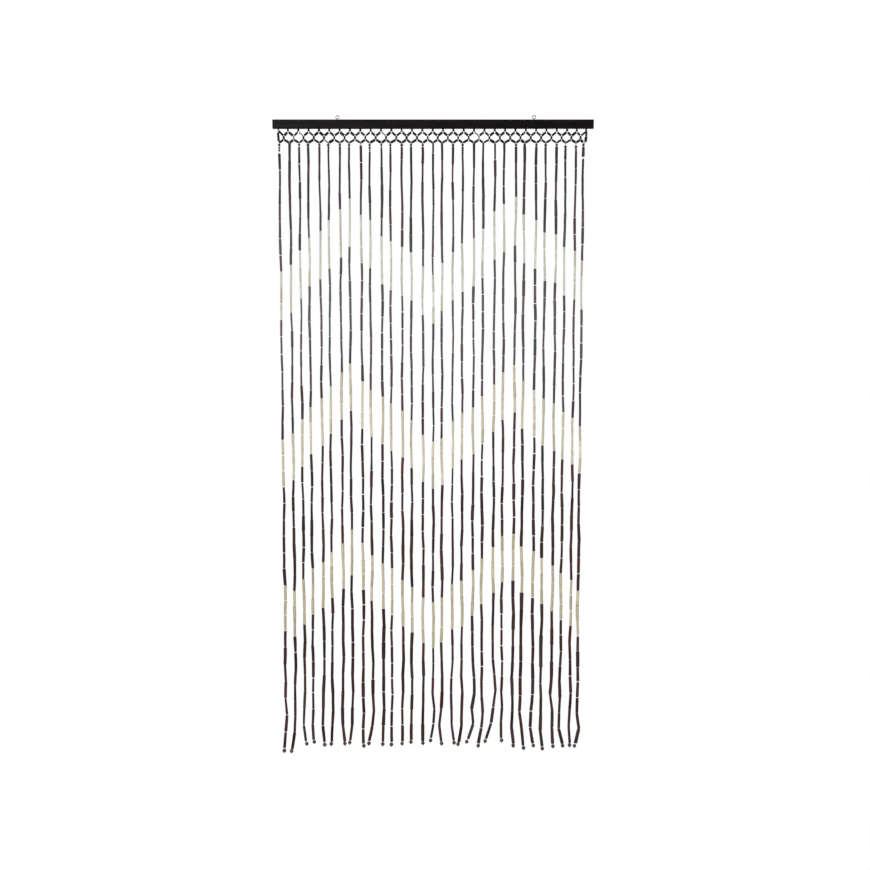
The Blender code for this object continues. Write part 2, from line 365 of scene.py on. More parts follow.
# How the strings hang: thirty-one of them, from the lower points of the net, each with its own
# length and its own swing near the free end. The threads' holes in the rail are drilled evenly,
# but the outermost ones sit closer in.
HOLE_PITCH = 29 * MM
FIRST_HOLE = -436 * MM
OUTER_HOLES = (0, -2, -1)
OUTER_HOLES_ASIDE = (2 * MM, -2 * MM, -5 * MM)
# One row for each string, left to right, all in millimetres but the last two. beside is how
# far the net's lower point lies beside the string's hole, and reach how far the middle of the
# end ball lies below that point. third, second, first and ball are the swings to the side at
# the joints above the ball and at the ball. upper, middle and lower are the drops at which
# the three light bands start. head is 0 for no head bead, 1 for one, 2 for a stout one and 3
# for none with the first tube hanging low, and bits counts the round bits under it.
String = namedtuple(
    "String", "beside reach third second first ball upper middle lower head bits"
)
STRINGS = [String(*row) for row in (
    (2, 1760, -2, 1, -2, -7, 360, 840, 1265, 1, 2),
    (4, 1760, -2, -1, -3, -15, 340, 820, 1280, 0, 0),
    (2, 1740, 1, -4, -7, 2, 300, 780, 1245, 1, 0),
    (-2, 1735, -2, -3, -3, 1, 265, 745, 1215, 2, 0),
    (1, 1740, -1, -4, -4, -2, 245, 720, 1195, 1, 0),
    (-3, 1740, -1, 0, -4, -6, 215, 685, 1165, 2, 2),
    (0, 1740, -5, -4, -3, 3, 185, 645, 1140, 1, 0),
    (-3, 1735, 2, 0, -4, -10, 155, 620, 1100, 1, 0),
    (1, 1745, -3, -2, -2, -1, 200, 670, 1140, 3, 0),
    (-3, 1740, 2, 4, 0, -13, 215, 695, 1175, 1, 2),
    (1, 1740, 1, -1, -2, -5, 260, 715, 1200, 1, 1),
    (-3, 1740, -1, -1, -1, -2, 275, 735, 1215, 1, 0),
    (0, 1740, 0, -2, -3, -4, 290, 755, 1250, 2, 0),
    (-3, 1735, 0, -2, -4, -2, 305, 785, 1270, 1, 0),
    (1, 1735, -1, 1, -2, 0, 345, 825, 1300, 1, 0),
    (1, 1730, 0, 3, -1, -8, 370, 845, 1315, 0, 0),
    (-3, 1740, 1, -4, -6, 0, 335, 835, 1300, 0, 0),
    (-1, 1735, -3, -1, 0, 4, 305, 785, 1260, 2, 0),
    (-3, 1740, 2, 0, -1, -9, 280, 760, 1250, 1, 0),
    (0, 1735, 5, -1, 4, -14, 265, 745, 1220, 0, 0),
    (-3, 1745, 3, 4, 0, -10, 240, 715, 1185, 0, 0),
    (1, 1730, 8, 1, -6, -19, 190, 680, 1150, 0, 0),
    (-2, 1730, 1, 3, 0, 2, 170, 645, 1120, 0, 0),
    (2, 1745, -1, 0, -4, 3, 150, 625, 1115, 1, 0),
    (-3, 1750, -4, -3, 4, 11, 200, 670, 1150, 2, 0),
    (1, 1745, 3, -2, -6, 5, 215, 695, 1165, 1, 0),
    (-2, 1755, 0, -1, 0, 6, 250, 720, 1185, 2, 0),
    (0, 1745, -4, 4, 4, 5, 255, 735, 1205, 1, 0),
    (-4, 1745, 0, -2, -3, 8, 290, 760, 1230, 2, 0),
    (-2, 1745, 2, -1, -1, 3, 302, 775, 1250, 2, 1),
    (-7, 1745, 2, 2, 7, -5, 330, 800, 1280, 1, 0),
)]
COUNT = len(STRINGS)
CHART = String(*(np.array(column) * MM for column in zip(*STRINGS)))
HOLES = FIRST_HOLE + np.arange(COUNT) * HOLE_PITCH
HOLES[list(OUTER_HOLES)] += OUTER_HOLES_ASIDE
PLUMBS = HOLES + CHART.beside
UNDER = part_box("rail")[0].z
SPLIT_Z = UNDER - 8 * MM
CROSSING_Z = UNDER - 20 * MM
PARTING_Z = UNDER - 29.5 * MM
POINT_Z = UNDER - 38 * MM
JOINT_PITCH = 48.5 * MM
SWING_JOINTS = 6
BOW = 1.2 * MM
BOW_LENGTH = 310 * MM
BOW_STEP = 2.4
DEPTH_SWAY = 5 * MM
DEPTH_GROWTH = 1.5
DEPTH_STEP = 1.9
JOINT_SHIFT = 0.2 * MM
JOINT_SHIFT_GROWTH = 0.0005
JOINT_STEP = 7.3
JOINT_WAVE = 35 * MM
JOINT_SKEW = 1.3


def hang(index, drop):
    """Points on the strings: x, y and z for these string numbers at these drops below the net.

    x = plumb + swing + bow, where the swing follows the chart from the ball to the third
    joint and fades out by the sixth, and the bow is a long sine that starts at the net.
    y is a swing to the front or back that grows with the drop.
    """
    reach = CHART.reach[index]
    up = (reach - drop) / JOINT_PITCH
    swung = np.stack([CHART.ball, CHART.first, CHART.second, CHART.third])[:, index]
    whole = np.clip(np.floor(up), 0, 2).astype(int)
    low, high = (np.take_along_axis(swung, (whole + n)[None], 0)[0] for n in (0, 1))
    charted = low + (high - low) * (up - whole)
    fading = swung[3] * np.clip(1 - (up - 3) / (SWING_JOINTS - 3), 0, 1)
    ease = np.clip(drop / (2 * JOINT_PITCH), 0, 1)
    bow = BOW * ease * np.sin(BOW_STEP * index + 2 * math.pi * drop / BOW_LENGTH)
    turn = np.sin(DEPTH_STEP * index + math.pi * drop / reach)
    x = PLUMBS[index] + np.where(up < 3, charted, fading) + bow
    y = DEPTH_SWAY * turn * np.clip(drop / reach, 0, None) ** DEPTH_GROWTH
    return np.stack([x, y, POINT_Z - drop], axis=-1)


def joint(index, drop):
    """A joint of a string: its place on the hanging line and a little aside, since the tubes
    don't sit square on each other. The shift is a sine of the drop, too short to show as a
    wave between joints, and grows down the string. To the front or back it is a cosine of
    the same turn, skewed so that the two don't keep step."""
    aside = JOINT_SHIFT + JOINT_SHIFT_GROWTH * drop
    turn = JOINT_STEP * index + 2 * math.pi * drop / JOINT_WAVE
    shift = np.stack([np.sin(turn), np.cos(JOINT_SKEW * turn), 0 * turn], axis=-1)
    return hang(index, drop) + aside[..., None] * shift


# The bamboo tubes of the strings: thin bamboo, stained dark brown or left light, cut to about
# 47 and 43 mm and strung end to end. No two tubes are alike, and the stouter ones hang lower
# down. A short one takes up what is left over above the first whole one.
DARK_PITCH = 48.5 * MM
LIGHT_PITCH = 45 * MM
LIGHT_COUNT = 3
# Where each kind of head starts below the net, and its length. Then, by string number, how
# far a head bead sags, and how much bare thread shows above the first whole tube
HEAD_START = (1.5 * MM, 3.0 * MM, 3.0 * MM, 7 * MM)
HEAD_LENGTH = (0, 8 * MM, 8.5 * MM, 0)
HEAD_SAG = {28: 4.5 * MM, 29: 4.5 * MM}
OPEN_STRETCH = {0: 4.5 * MM, 30: 6 * MM}
BIT_PITCH = 7 * MM
CUT_SPREAD = 0.02
SHORTEST_TUBE = 14 * MM
LONGEST_SPARE = 36 * MM
BALL_RADIUS = 5.5 * MM
BALL_GAP = 1 * MM
BORE = 1.45 * MM
BORE_SHARE = 0.55
CHAMFER = 0.35 * MM
TUBE_SIDES = 10
# Thicknesses in millimetres: of the dark tubes at the top and at the foot of the curtain, and
# of the round bits. In metres below the net: where the dark tubes start to grow stouter, and
# over how much
SLIM = 6.8
STOUT = 8.5
BIT_THICKNESS = 6.0
STOUTER_FROM = 0.6
STOUTER_OVER = 0.75
BIT_ROUNDING = 1.1 * MM
# Gaps in millimetres: the least and the most of a close one, and then pairs, each of them a
# value at the net and its growth for each metre below it
CLOSE_GAPS = (0.2, 1.1)
CLOSE_GROWTH = (0.75, 0.75)
WIDE_GAPS = (1.5, 0.4)
WIDE_SHARE = (0.13, 0.12)
TAPER = 0.035
CROOKEDNESS = 0.004
OFF_SQUARE = 0.06
OVALNESS = 0.05
ANY_TURN = (0, 6.3)
SKIN_OFFSET = 40
BAMBOO_ROUGHNESS = (0.42, 0.62)
FIBRE_SCALE = (1100, 34, 1)
MOTTLE_SCALE = (90, 60, 1)
PORE_SCALE = (2600, 2600, 1)
MOTTLE_DARK = 0.22
PORE_SHADE = 0.45
STAIN = (0.028, 0.020, 0.0195)
STAIN_RED = (0.046, 0.019, 0.0175)
STAIN_ODD = (0.056, 0.015, 0.015)
BIT_ODD = (0.16, 0.030, 0.018)
# A painted sheen: pale grey added to the dark tubes by a bell curve about half a metre down, in
# place of the light's reflection. Then the bell's middle drop and reach in metres, and how
# unevenly it is added
PAINTED_SHEEN = (0.091, 0.087, 0.092)
PAINTED_SHEEN_DROP = 0.44
PAINTED_SHEEN_REACH = 0.32
PAINTED_SHEEN_ODDS = (0.7, 1.3)
STAIN_GAIN = 0.55
LIGHT_ODD = (0.58, 0.475, 0.365)
ODD_SHARE = 0.07
# The light bands: thickness in millimetres and the two tones that the tubes lie between
LIGHT_BANDS = {
    "upper": (6.1, (0.71, 0.695, 0.60), (0.565, 0.55, 0.445)),
    "middle": (7.0, (0.705, 0.665, 0.505), (0.54, 0.51, 0.365)),
    "lower": (8.0, (0.665, 0.61, 0.425), (0.52, 0.47, 0.30)),
}
Run = namedtuple("Run", "string kind start end")
chance = np.random.default_rng(31)
# How slack each string has become: most of them a little, a few a lot
SLACK = 0.2 + 2.4 * chance.random(COUNT) ** 2


def divided(string, kind, start, end, pitch):
    """A stretch of a string cut into tubes of about this pitch, at even cuts that are then
    moved by a small share of the pitch."""
    count = max(1, round((end - start) / pitch))
    cuts = np.linspace(start, end, count + 1)
    moved = chance.normal(0, CUT_SPREAD, count - 1).clip(-2 * CUT_SPREAD, 2 * CUT_SPREAD)
    cuts[1:-1] += pitch * moved
    return [Run(string, kind, a, b) for a, b in zip(cuts, cuts[1:])]


def strung(number):
    """Everything on one string, from the head bead to the last tube, as runs. A few head beads
    sag below the net, and a few strings show bare thread above their first whole tube."""
    string = STRINGS[number]
    head_start = HEAD_START[string.head] + HEAD_SAG.get(number, 0)
    start = head_start + HEAD_LENGTH[string.head]
    bands = [column[number] for column in (CHART.upper, CHART.middle, CHART.lower)]
    runs = [Run(number, "head", head_start, start)] if start > head_start else []
    if string.bits:
        past_bits = start + string.bits * BIT_PITCH
        runs += divided(number, "bit", start, past_bits, BIT_PITCH)
        start = past_bits
    spare = (bands[0] - start) % DARK_PITCH
    if SHORTEST_TUBE < spare <= LONGEST_SPARE:
        runs.append(Run(number, "dark", start, start + spare))
        start += spare
    start += OPEN_STRETCH.get(number, 0)
    for band, kind in zip(bands, LIGHT_BANDS):
        end = band + LIGHT_COUNT * LIGHT_PITCH
        runs += divided(number, "dark", start, band, DARK_PITCH)
        runs += divided(number, kind, band, end, LIGHT_PITCH)
        start = end
    end = CHART.reach[number] - BALL_RADIUS - BALL_GAP
    return runs + divided(number, "dark", start, end, DARK_PITCH)


def picked(runs, kinds):
    """The runs of these kinds, as arrays: string numbers, starts and ends."""
    found = [run for run in runs if run.kind in kinds]
    numbers = np.array([run.string for run in found])
    return numbers, *(np.array([getattr(run, end) for run in found]) for end in ("start", "end"))


def gaps(numbers, drops):
    """The room left at a joint: mostly tubes pulled close, now and then a wider gap, and both
    more so further down. Some strings have slackened more than others."""
    close = chance.uniform(*CLOSE_GAPS, len(drops)) * (CLOSE_GROWTH[0] + CLOSE_GROWTH[1] * drops)
    share = SLACK[numbers] * (WIDE_SHARE[0] + WIDE_SHARE[1] * drops)
    wide = chance.random(len(drops)) < share
    return MM * np.where(wide, close + WIDE_GAPS[0] + WIDE_GAPS[1] * drops, close)


def stoutness(starts, ends):
    """The dark tubes' thickness in millimetres: slim at the top and stout at the foot, with a
    soft step t^2 (3 - 2t) between 0.6 and 1.35 m down."""
    step = np.clip(((starts + ends) / 2 - STOUTER_FROM) / STOUTER_OVER, 0, 1)
    return SLIM + (STOUT - SLIM) * step ** 2 * (3 - 2 * step)


def tubes(numbers, starts, ends, thickness, unevenness, chamfer=CHAMFER):
    """Hollow tubes on the strings, each a closed ring of seven circles.

    Down the outside: rim, chamfer, body, middle, body, chamfer, rim, and back up the bore.
    Each tube has its own radius and taper, a slight bow at its middle, an oval section and
    two cuts that aren't quite square.
    """
    count = len(numbers)
    room = gaps(numbers, starts)
    top, foot = joint(numbers, starts), joint(numbers, ends)
    way = foot - top
    length = np.linalg.norm(way, axis=1)
    way /= length[:, None]
    radius = (thickness / 2 * (1 + unevenness * chance.normal(0, 1, count).clip(-1.8, 2))) * MM
    taper = chance.normal(0, TAPER, count)
    bore = np.minimum(BORE, radius * BORE_SHARE)
    edge = np.full(count, chamfer)
    rims = np.stack([bore, radius * (1 + taper) - edge], axis=1)
    body = radius[:, None] * (1 + taper[:, None] * (1, 0.2, -1))
    tail = np.stack([radius * (1 - taper) - edge, bore], axis=1)
    radii = np.concatenate([rims, body, tail], axis=1)
    near, far = room / 2, length - room / 2
    steps = np.stack([near, near, near + edge, (near + far) / 2, far - edge, far, far], axis=1)
    centres = top[:, None] + steps[..., None] * way[:, None]
    bend = chance.normal(0, CROOKEDNESS, (count, 3)) * length[:, None]
    bend -= (bend * way).sum(axis=1)[:, None] * way
    centres[:, 3] += bend
    slant = chance.normal(0, OFF_SQUARE, (count, 2)).clip(-0.15, 0.15)
    slants = np.concatenate([slant[:, [0] * 3], np.zeros((count, 1)), slant[:, [1] * 3]], axis=1)
    along = lengths_along(np.stack([radii, steps, radii * 0], axis=2))
    along[:, -1] += far - near
    along += chance.uniform(0, SKIN_OFFSET, count)[:, None]
    ways = np.broadcast_to(way[:, None], centres.shape)
    return turned(centres, ways, radii, along, TUBE_SIDES, hollow=True, slant=slants,
                  oval=chance.uniform(0, OVALNESS, count), phase=chance.uniform(*ANY_TURN, count))


def cut_ends(shape):
    """1 on the sawn rims and in the bore of tubes made of seven rings, 0 on the skin."""
    _, _, _, pieces, each = shape
    rims = np.array([1, 1, 0, 0, 0, 1, 1])
    return np.tile(np.repeat(rims, each // len(rims)), pieces)


def tones(count, first, second, odd, odd_share, spread=0.07):
    """A colour for each tube: first (1 - share) + second share, where the share mostly lies
    near the middle, or now and then an odd one, and each a little paler or darker."""
    share = chance.beta(1.6, 1.6, (count, 1))
    plain = np.array(first) * (1 - share) + np.array(second) * share
    rare = chance.random((count, 1)) < odd_share
    tone = np.where(rare, np.array(odd), plain)
    return tone * chance.normal(1, spread, (count, 1)).clip(1 - 2.5 * spread, 1 + 2.5 * spread)


def bamboo(name, fibre_depth, fibre_dark, sawn):
    """Bamboo in the tube's own tone, with long fibres and soft mottling, paler or darker where
    it is sawn across. It reads the piece's uv, in metres, and its tone and sawn attributes."""
    material, tree, shader = new_material(name, 0.5, specular=0.08)
    skin = add_node(tree, "ShaderNodeUVMap").outputs["UV"]
    tone = tree.nodes.new("ShaderNodeAttribute")
    tone.attribute_name = "tone"
    end = tree.nodes.new("ShaderNodeAttribute")
    end.attribute_name = "sawn"
    fibres = noise(tree, skin, FIBRE_SCALE, detail=4)
    mottle = noise(tree, skin, MOTTLE_SCALE, detail=2)
    dark = blended(tree, between(tree, fibres, 0, fibre_dark), tone.outputs["Color"], (0, 0, 0))
    dark = blended(tree, between(tree, mottle, 0, MOTTLE_DARK), dark, (0, 0, 0))
    pores = noise(tree, skin, PORE_SCALE, detail=1)
    shaded = tuple(PORE_SHADE * c for c in sawn)
    section = blended(tree, between(tree, pores, 0, 1), sawn, shaded)
    colour = blended(tree, end.outputs["Fac"], dark, section)
    link(tree, colour, shader.inputs["Base Color"],
         between(tree, fibres, *BAMBOO_ROUGHNESS), shader.inputs["Roughness"])
    bump(tree, shader, fibres, fibre_depth)
    return material


RUNS = [run for number in range(COUNT) for run in strung(number)]
DARK_BAMBOO = bamboo(
    "dark stained bamboo", fibre_depth=0.12 * MM, fibre_dark=0.45, sawn=(0.10, 0.055, 0.036)
)
LIGHT_BAMBOO = bamboo(
    "light bamboo", fibre_depth=0.10 * MM, fibre_dark=0.20, sawn=(0.62, 0.50, 0.33)
)


def stain_and_painted_sheen(tone, starts, ends):
    """The stain's tone, richer further down, with a painted sheen about half a metre down: pale
    grey, standing in for the light's reflection, is added by a bell curve of the drop, a little
    unevenly."""
    drops = (starts + ends)[:, None] / 2
    bell = np.exp(-((drops - PAINTED_SHEEN_DROP) / PAINTED_SHEEN_REACH) ** 2)
    grey = bell * chance.uniform(*PAINTED_SHEEN_ODDS, bell.shape) * PAINTED_SHEEN
    return tone * (1 + STAIN_GAIN * drops) + grey


# Each string's tubes come from stock of its own, so it is a little stouter or redder as a whole
stringwise_size = chance.normal(1, 0.06, COUNT).clip(0.88, 1.12)
stringwise_cast = chance.normal(1, 0.09, (COUNT, 3)).clip(0.8, 1.2)
numbers, starts, ends = picked(RUNS, ("dark",))
thickness = stoutness(starts, ends) * stringwise_size[numbers]
shape = tubes(numbers, starts, ends, thickness, unevenness=0.10)
tone = tones(len(numbers), STAIN, STAIN_RED, STAIN_ODD, ODD_SHARE, spread=0.19)
tone *= stringwise_cast[numbers]
# The dark tubes' tone carries a painted sheen: pale grey added about half a metre down
piece("dark_tubes", shape, DARK_BAMBOO, "dark_bamboo", "bead_net",
      tone=stain_and_painted_sheen(tone, starts, ends), sawn=cut_ends(shape))

for band, (thickness, pale, deep) in LIGHT_BANDS.items():
    numbers, starts, ends = picked(RUNS, (band,))
    shape = tubes(numbers, starts, ends, thickness, unevenness=0.08)
    tone = tones(len(numbers), pale, deep, LIGHT_ODD, ODD_SHARE)
    piece(f"light_tubes_{band}", shape, LIGHT_BAMBOO, "light_bamboo", "bead_net",
          tone=tone, sawn=cut_ends(shape))

numbers, starts, ends = picked(RUNS, ("bit",))
shape = tubes(numbers, starts, ends, BIT_THICKNESS, unevenness=0.06, chamfer=BIT_ROUNDING)
tone = tones(len(numbers), STAIN, STAIN_RED, BIT_ODD, odd_share=0.1)
piece("round_bits", shape, DARK_BAMBOO, "dark_bamboo", "bead_net", tone=tone,
      sawn=cut_ends(shape))

# The head beads and end balls: turned wooden beads, stained brown and drilled through. One of
# 7.5 to 8.5 mm sits at the head of most strings, and one of 11 mm ends each string, held by
# the knot under it.
HEAD_RADIUS = (0, 3.7 * MM, 4.2 * MM, 0)
HEAD_TONES = (0.012, 0.007, 0.007), (0.030, 0.018, 0.016), (0.07, 0.022, 0.018)
BALL_TONES = (0.062, 0.037, 0.031), (0.115, 0.068, 0.055), (0.095, 0.042, 0.036)
BEAD_BORE = 1.1 * MM
BEAD_SPREAD = 0.03
BEAD_OVALNESS = 0.03
BEAD_GRAIN_SCALE = (700, 700, 160)
BEAD_GRAIN_DEPTH = 0.1 * MM
BEAD_GRAIN_DARK = 0.5


def beads(middles, ways, radius, rings, sides):
    """Drilled balls: circles of radius R cos t at heights R sin t, from one edge of the bore,
    where R cos t is the bore's radius, to the other."""
    count = len(middles)
    edge = math.acos(BEAD_BORE / np.max(radius))
    t = np.linspace(-edge, edge, rings)
    spread = chance.normal(1, BEAD_SPREAD, (count, 1)).clip(0.93, 1.07)
    size = np.reshape(radius, (-1, 1)) * spread
    radii = size * np.cos(t)
    heights = size * np.sin(t)
    centres = middles[:, None] + heights[..., None] * ways[:, None]
    along = np.linspace(0, 2 * edge, rings + 1) * size
    along += chance.uniform(0, SKIN_OFFSET, (count, 1))
    return turned(centres, np.broadcast_to(ways[:, None], centres.shape), radii, along, sides,
                  hollow=True, oval=chance.uniform(0, BEAD_OVALNESS, count))


def stained_bead():
    """Turned wood in the bead's own tone with open grain, under a thin stain."""
    material, tree, shader = new_material("stained bead wood", 0.42, specular=0.4)
    place = tree.nodes.new("ShaderNodeTexCoord").outputs["Object"]
    tone = tree.nodes.new("ShaderNodeAttribute")
    tone.attribute_name = "tone"
    grain = noise(tree, place, BEAD_GRAIN_SCALE, detail=4)
    shade = between(tree, grain, 0, BEAD_GRAIN_DARK)
    colour = blended(tree, shade, tone.outputs["Color"], (0, 0, 0))
    link(tree, colour, shader.inputs["Base Color"])
    bump(tree, shader, grain, BEAD_GRAIN_DEPTH)
    return material


BEAD_WOOD = stained_bead()
numbers, starts, ends = picked(RUNS, ("head",))
top, foot = joint(numbers, starts), joint(numbers, ends)
ways = (foot - top) / np.linalg.norm(foot - top, axis=1)[:, None]
radii = np.array([HEAD_RADIUS[STRINGS[number].head] for number in numbers])
shape = beads(top + ways * radii[:, None], ways, radii, rings=8, sides=14)
tone = tones(len(radii), *HEAD_TONES, odd_share=0.06)
piece("head_beads", shape, BEAD_WOOD, "ball_wood", "bead_net", sharp=60, tone=tone)

numbers = np.arange(COUNT)
BALL_MIDDLES = joint(numbers, CHART.reach)
LAST_JOINTS = joint(numbers, CHART.reach - JOINT_PITCH)
BALL_WAYS = BALL_MIDDLES - LAST_JOINTS
BALL_WAYS /= np.linalg.norm(BALL_WAYS, axis=1)[:, None]
shape = beads(BALL_MIDDLES, BALL_WAYS, BALL_RADIUS, rings=12, sides=20)
tone = tones(COUNT, *BALL_TONES, odd_share=0.15)
piece("end_balls", shape, BEAD_WOOD, "ball_wood", "bead_net", sharp=60, tone=tone)

# The heading net: two threads leave each hole through a short dark bit, and part. Each carries
# a dark tube, shares a bit with its neighbour's thread, carries a second tube and is tied to
# the next string. A few of these are thin and grey. At both edges a thread hangs straight down.
THREAD_RADIUS = 0.95 * MM
THREAD_SIDES = 8
PAIR_HALF = 0.95 * MM
UPPER_MARGINS = (2.9 * MM, 2.5 * MM)
LOWER_MARGINS = (2.0 * MM, 1.9 * MM)
THIN_UPPER_LEGS = (2, 10, 19)
THIN_LOWER_LEGS = (4,)
THIN_CROSSINGS = (1, 19)
THIN_TONE = (0.11, 0.10, 0.085)
# Thicknesses in millimetres
THIN = 3.6
NET_TUBE = 6.8
CROSSING_BIT = 5.8
TOP_BIT = 5.7
SWELL = 1.02
CROSSING_BIT_HALF = (3.8 * MM, 4.6 * MM)
TOP_BIT_MARGINS = (0.4 * MM, 0.8 * MM)
BIT_CHAMFER = 0.5 * MM
NET_BORE_SHARE = 0.6
NET_OFF_SQUARE = 0.05
MARGIN_ODDS = (0.9, 1.2)
# For tubes and bits: the two tones that they lie between, and an odd one
NET_TONES = (0.011, 0.0068, 0.0064), (0.032, 0.020, 0.018), (0.06, 0.05, 0.045)
CROSSING_TONES = (0.012, 0.008, 0.007), (0.040, 0.025, 0.022), (0.07, 0.03, 0.025)
TOP_TONES = (0.010, 0.007, 0.007), (0.028, 0.018, 0.017), (0.07, 0.05, 0.045)
TWINE_TONES = (0.012, 0.009, 0.008), (0.040, 0.029, 0.025)
PLY_SCALE = (580, 420, 1)
PLY_DEPTH = 0.2 * MM
PATH_STEPS = 5
TIE_DROP = 5 * MM
FEET_SPREAD = 0.6
LEG_SAG = 0.8 * MM
EDGE_FEET_ASIDE = (0, 5.5 * MM)
# How much of the way across, left and right, an edge's thread has gone at the height of the
# crossings and of the partings
EDGE_SHARES = ((0.4, 0.1), (0.7, 0.6))
# The tubes on the edges: 0 for the left edge or 1 for the right one, then in millimetres how
# far aside and how far under the rail a tube's top lies, and the same for its foot
EDGE_TUBES = np.array([
    (0, 0, 11, 2, 34.5),
    (1, 0, 7.5, -0.2, 21),
    (1, -0.6, 22, -2.3, 36),
])
ROOT_Z = UNDER + 7.5 * MM
SPLITS_Z = np.full(COUNT, SPLIT_Z)
SPLITS_Z[0] += 3.5 * MM
CROSSINGS_X = (HOLES[:-1] + HOLES[1:] + PLUMBS[:-1] + PLUMBS[1:]) / 4


def corner(x, z):
    """Points in the XZ plane at y = 0, from arrays or numbers that match in shape."""
    x, z = np.broadcast_arrays(x, z)
    return np.stack([x, np.zeros_like(x, dtype=float), z], axis=-1)


def rounded(stops, steps):
    """Paths through their stops: straight runs between them, rounded by a sliding mean.

    Each run is divided evenly, and each point then becomes the mean of itself and its two
    neighbours, twice over, so that the ends stay and the corners soften.
    """
    share = np.linspace(0, 1, steps, endpoint=False)[:, None]
    runs = stops[:, :-1, None] + share * (stops[:, 1:, None] - stops[:, :-1, None])
    path = np.concatenate([runs.reshape(len(stops), -1, 3), stops[:, -1:]], axis=1)
    for _ in range(2):
        path[:, 1:-1] = (path[:, :-2] + path[:, 1:-1] + path[:, 2:]) / 3
    return path


def twine():
    """Dark brown twine of two plies: a slanting rib by the uv, with fuzz between the plies."""
    material, tree, shader = new_material("brown twine", 0.85, specular=0.15)
    skin = add_node(tree, "ShaderNodeUVMap").outputs["UV"]
    mapping = add_node(tree, "ShaderNodeMapping", Scale=PLY_SCALE)
    ribs = add_node(tree, "ShaderNodeTexWave", Scale=0.5, Distortion=1.5, Detail=2)
    ribs.bands_direction = "DIAGONAL"
    link(tree, skin, mapping.inputs["Vector"], mapping.outputs["Vector"], ribs.inputs["Vector"])
    rib = ribs.outputs["Fac"]
    colour = blended(tree, rib, *TWINE_TONES)
    link(tree, colour, shader.inputs["Base Color"])
    bump(tree, shader, rib, PLY_DEPTH)
    return material


def threads(name, paths, radius=THREAD_RADIUS):
    """Round threads along their paths."""
    radii = np.full(paths.shape[:2], radius)
    shape = turned(paths, directions(paths), radii, lengths_along(paths), THREAD_SIDES,
                   hollow=False)
    return piece(name, shape, TWINE, "thread", "bead_net")


def net_threads():
    """Both threads of each hole, as paths of five runs that end in a head bead.

    A thread from hole n to string m = n - 1 or n + 1 keeps to its own side of the crossing.
    """
    n = np.arange(COUNT - 1)
    paths = []
    for source, target, side in ((n, n + 1, -1), (n + 1, n, 1)):
        shift = side * PAIR_HALF
        stops = np.stack([
            corner(HOLES[source] - shift, ROOT_Z),
            corner(HOLES[source] - shift, SPLITS_Z[source]),
            corner(CROSSINGS_X + shift, CROSSING_Z),
            corner(CROSSINGS_X - shift, PARTING_Z),
            corner(PLUMBS[target] + shift * FEET_SPREAD, POINT_Z),
            corner(PLUMBS[target] + shift * FEET_SPREAD, POINT_Z - TIE_DROP),
        ], axis=1)
        paths.append(rounded(stops, PATH_STEPS))
    edge = np.array([0, -1])
    outward = np.array([-1, 1]) * PAIR_HALF
    beside = HOLES[edge] + outward
    towards = PLUMBS[edge] - beside + EDGE_FEET_ASIDE
    stops = np.stack([
        corner(beside, ROOT_Z),
        corner(beside, SPLIT_Z),
        corner(beside + towards * EDGE_SHARES[0], CROSSING_Z),
        corner(beside + towards * EDGE_SHARES[1], PARTING_Z),
        corner(PLUMBS[edge] + EDGE_FEET_ASIDE, POINT_Z),
        corner(PLUMBS[edge], POINT_Z - TIE_DROP),
    ], axis=1)
    return np.concatenate(paths + [rounded(stops, PATH_STEPS)])


TWINE = twine()
threads("net_threads", net_threads())


def straight_tubes(tops, feet, thickness, unevenness, chamfer=CHAMFER):
    """Hollow tubes from one point to another, with the same seven circles as on the strings."""
    count = len(tops)
    way = feet - tops
    length = np.linalg.norm(way, axis=1)[:, None]
    way /= length
    radius = (thickness / 2 * (1 + unevenness * chance.normal(0, 1, (count, 1)).clip(-2, 2))) * MM
    bore = np.minimum(radius * NET_BORE_SHARE, PAIR_HALF + THREAD_RADIUS)
    edge, none = np.full((count, 1), chamfer), np.zeros((count, 1))
    radii = np.concatenate([
        bore, radius - edge, radius, radius * SWELL, radius, radius - edge, bore
    ], axis=1)
    steps = np.concatenate([
        none, none, edge, length / 2, length - edge, length, length
    ], axis=1)
    centres = tops[:, None] + steps[..., None] * way[:, None]
    along = lengths_along(np.stack([radii, steps, radii * 0], axis=2))
    along[:, -1] += length[:, 0]
    along += chance.uniform(0, SKIN_OFFSET, (count, 1))
    slant = chance.normal(0, NET_OFF_SQUARE, (count, 2)).clip(-0.12, 0.12)
    slants = np.concatenate([slant[:, [0] * 3], none, slant[:, [1] * 3]], axis=1)
    return turned(centres, np.broadcast_to(way[:, None], centres.shape), radii, along,
                  TUBE_SIDES, hollow=True, slant=slants, phase=chance.uniform(*ANY_TURN, count),
                  oval=chance.uniform(0, OVALNESS, count))


def legs():
    """Where the short tubes of the net start and end, and which of them are thin."""
    splits, points = corner(HOLES, SPLITS_Z), corner(PLUMBS, POINT_Z - LEG_SAG)
    crossings, partings = corner(CROSSINGS_X, CROSSING_Z), corner(CROSSINGS_X, PARTING_Z)
    tops = np.stack([splits[:-1], splits[1:], partings, partings])
    feet = np.stack([crossings, crossings, points[:-1], points[1:]])
    way = feet - tops
    way /= np.linalg.norm(way, axis=2, keepdims=True)
    thin = np.zeros(tops.shape[:2], bool)
    thin[0, THIN_UPPER_LEGS] = thin[3, THIN_LOWER_LEGS] = True
    margins = np.array([UPPER_MARGINS] * 2 + [LOWER_MARGINS] * 2)[:, :, None, None]
    tops = tops + way * margins[:, 0] * chance.uniform(*MARGIN_ODDS, (*thin.shape, 1))
    feet = feet - way * margins[:, 1] * chance.uniform(*MARGIN_ODDS, (*thin.shape, 1))
    return tops.reshape(-1, 3), feet.reshape(-1, 3), thin.ravel()


def greyed(tone, thin):
    """The tone, with pale grey in its place where a tube is thin."""
    return np.where(thin[:, None], THIN_TONE, tone)


